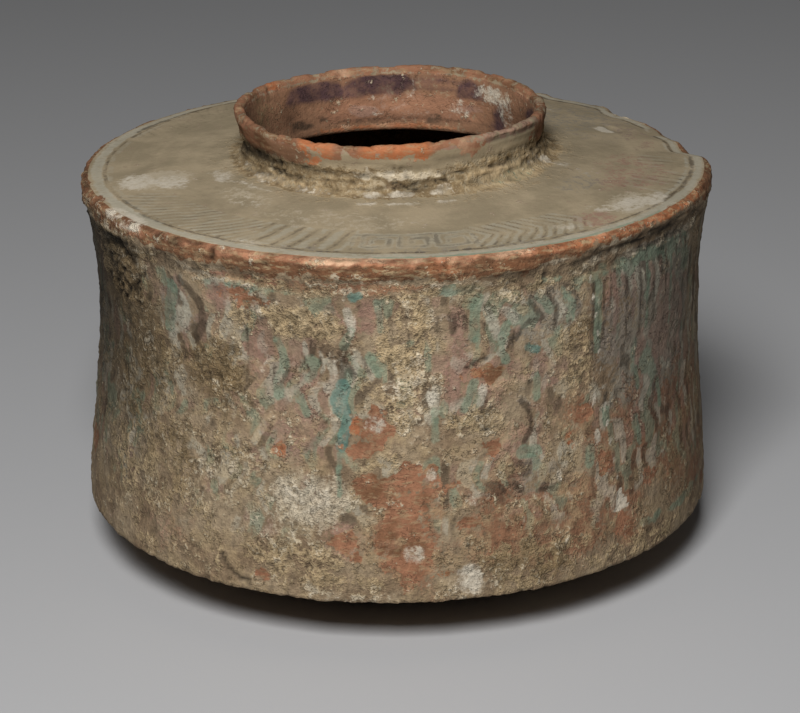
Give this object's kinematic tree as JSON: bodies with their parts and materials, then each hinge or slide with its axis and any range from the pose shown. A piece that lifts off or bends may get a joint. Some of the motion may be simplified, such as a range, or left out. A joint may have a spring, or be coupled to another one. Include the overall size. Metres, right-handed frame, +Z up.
{
  "type": "painted pottery canister",
  "caption": "Squat drum-shaped pottery jar with a flat shoulder, short open collar and worn wall painting, for holding small goods.",
  "frame": {"origin": "middle of the underside, on the surface that the vessel stands on", "axes": "+Z up through the mouth; the best painted side faces -Y; +X to its right"},
  "size_m": [0.1824, 0.1822, 0.1312],
  "materials": {
    "painted_clay": "dry, dull fired clay with worn grey-green, mauve and brown paint under a tan crust of soil"
  },
  "bodies": {
    "root": {"canister": "painted_clay"}
  },
  "joints": []
}
